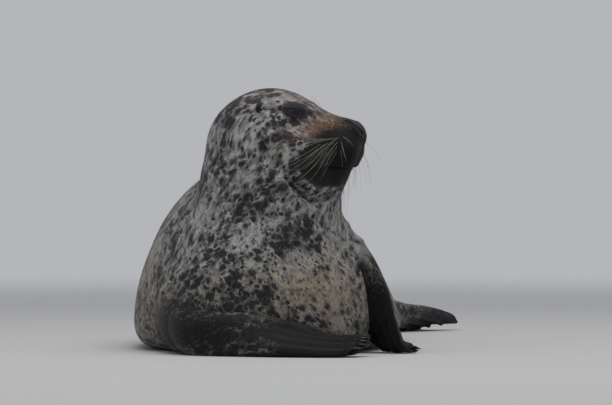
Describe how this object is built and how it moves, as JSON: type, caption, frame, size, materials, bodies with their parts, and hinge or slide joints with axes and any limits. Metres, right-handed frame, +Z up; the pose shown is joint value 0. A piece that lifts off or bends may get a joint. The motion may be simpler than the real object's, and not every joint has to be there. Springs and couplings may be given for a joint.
{
  "type": "harbor seal",
  "caption": "Life-size still model of a harbor seal lying on its belly, neck raised, face turned to its left, spotted coat.",
  "frame": {"origin": "on the floor, under the middle of the whole seal's box", "axes": "+Z up, the chest towards -Y and the tail towards +Y, the face looks along +X, which is the seal's left"},
  "size_m": [0.5282, 1.3858, 0.39],
  "materials": {
    "coat": "short fur that lies flat, pale grey cream with dark grey spots",
    "flippers": "dark grey flippers, thinly furred",
    "claws": "near black horn, satin",
    "eyes": "wet, very dark brown",
    "whiskers": "pale cream, satin"
  },
  "bodies": {
    "root": {"head": "coat", "lower_jaw": "coat", "neck": "coat", "chest": "coat", "trunk_front": "coat", "trunk_rear": "coat", "hips": "coat", "tail": "coat", "fore_flipper_left": "flippers", "fore_flipper_right": "flippers", "hind_flipper_left": "flippers", "hind_flipper_right": "flippers", "eye_left": "eyes", "eye_right": "eyes"}
  },
  "joints": []
}
